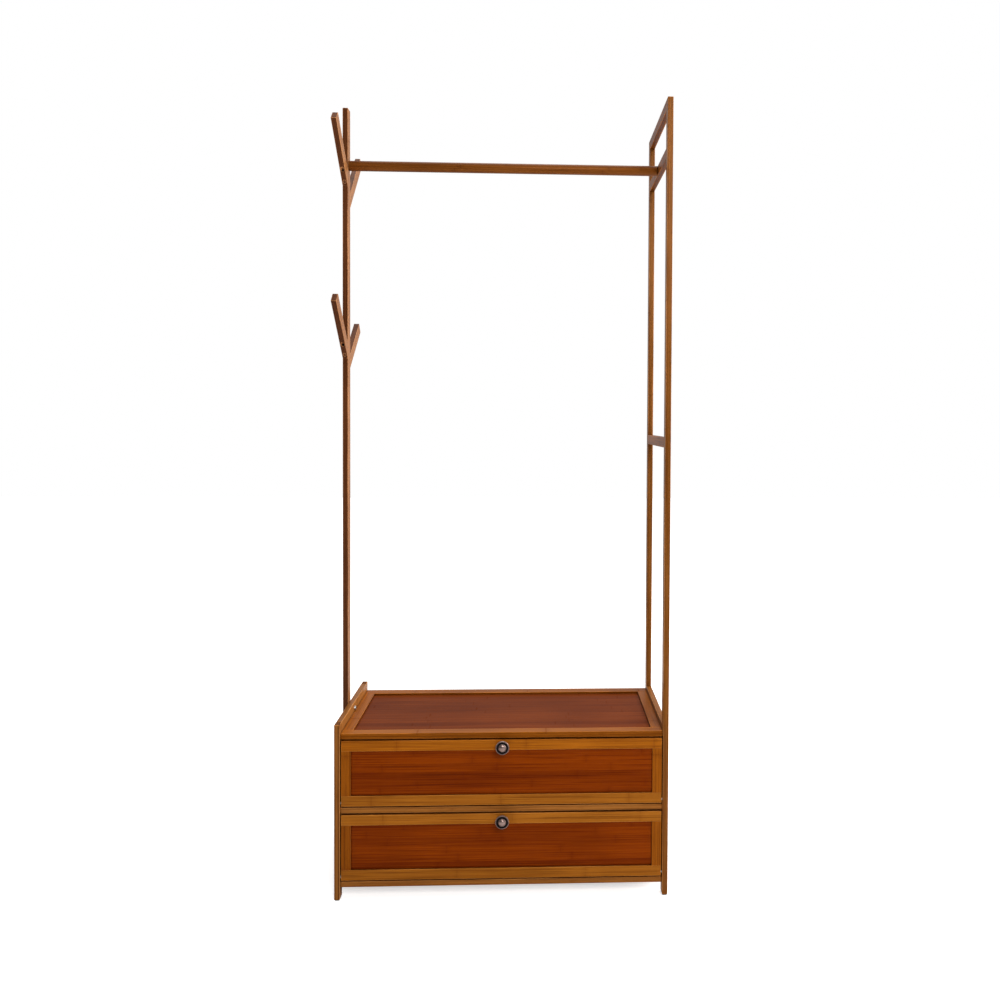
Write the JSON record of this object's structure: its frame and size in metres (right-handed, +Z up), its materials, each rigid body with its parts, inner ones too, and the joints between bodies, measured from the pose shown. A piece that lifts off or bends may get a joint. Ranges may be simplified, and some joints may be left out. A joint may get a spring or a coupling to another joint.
{
  "type": "hall tree with hooks",
  "caption": "Bamboo hall tree: seat over two flap-door compartments, ladder frame on one side, hook post on the other and a hanging rod between.",
  "frame": {"origin": "bottom centre of the whole bounding box, on the floor", "axes": "+Z up, -Y to the front where the doors and knobs are, +X towards the ladder frame"},
  "size_m": [0.712, 0.322, 1.692],
  "materials": {
    "bamboo": "satin lacquer, caramel bamboo",
    "red_bamboo": "satin lacquer, deep red-brown bamboo",
    "brown_bamboo": "satin lacquer, cocoa-brown bamboo",
    "antique_metal": "antique pewter, dark in the grooves",
    "steel": "zinc-plated",
    "beech": "plain beech dowel",
    "dark_plastic": "dark brown moulded plastic"
  },
  "bodies": {
    "cabinet": {"left_front_leg": "bamboo", "left_rear_leg": "bamboo", "left_raised_rail": "bamboo", "left_bottom_rail": "bamboo", "left_side_panel": "red_bamboo", "tree_post": "bamboo", "upper_front_hook": "bamboo", "upper_rear_hook": "bamboo", "lower_front_hook": "bamboo", "lower_rear_hook": "bamboo", "right_front_upright": "bamboo", "right_rear_upright": "bamboo", "right_top_crossbar": "bamboo", "right_rod_crossbar": "bamboo", "right_middle_crossbar": "bamboo", "right_raised_rail": "bamboo", "right_bottom_rail": "bamboo", "right_side_panel": "red_bamboo", "hanging_rod": "bamboo", "seat_front_rail": "bamboo", "seat_rear_rail": "bamboo", "seat_left_member": "bamboo", "seat_right_member": "bamboo", "seat_panel": "brown_bamboo", "middle_shelf_front_rail": "bamboo", "middle_shelf_rear_rail": "bamboo", "middle_shelf_panel": "red_bamboo", "bottom_shelf_front_rail": "bamboo", "bottom_shelf_rear_rail": "bamboo", "bottom_shelf_panel": "red_bamboo", "back_panel": "red_bamboo", "hook_screws": "steel", "hook_dowels": "beech", "post_bolts": "steel", "post_nuts": "steel", "rod_bolts": "steel", "frame_bolts": "steel", "barrel_nuts": "steel", "frame_dowels": "beech", "catch_magnets": "dark_plastic", "back_panel_screws": "steel", "foot_pads": "dark_plastic"},
    "upper_door": {"upper_door_top_rail": "bamboo", "upper_door_bottom_rail": "bamboo", "upper_door_left_stile": "bamboo", "upper_door_right_stile": "bamboo", "upper_door_panel": "red_bamboo", "upper_door_knob": "antique_metal", "upper_door_knob_screw": "steel", "upper_door_strike_plates": "steel", "upper_door_hinge_pins": "steel"},
    "lower_door": {"lower_door_top_rail": "bamboo", "lower_door_bottom_rail": "bamboo", "lower_door_left_stile": "bamboo", "lower_door_right_stile": "bamboo", "lower_door_panel": "red_bamboo", "lower_door_knob": "antique_metal", "lower_door_knob_screw": "steel", "lower_door_strike_plates": "steel", "lower_door_hinge_pins": "steel"}
  },
  "joints": [
    {"name": "upper_door_hinge", "type": "hinge", "parent": "cabinet", "child": "upper_door", "pos_m": [0.006, -0.131, 0.2035], "axis": [1, 0, 0], "range_deg": [0, 90]},
    {"name": "lower_door_hinge", "type": "hinge", "parent": "cabinet", "child": "lower_door", "pos_m": [0.006, -0.131, 0.0475], "axis": [1, 0, 0], "range_deg": [0, 90]}
  ]
}
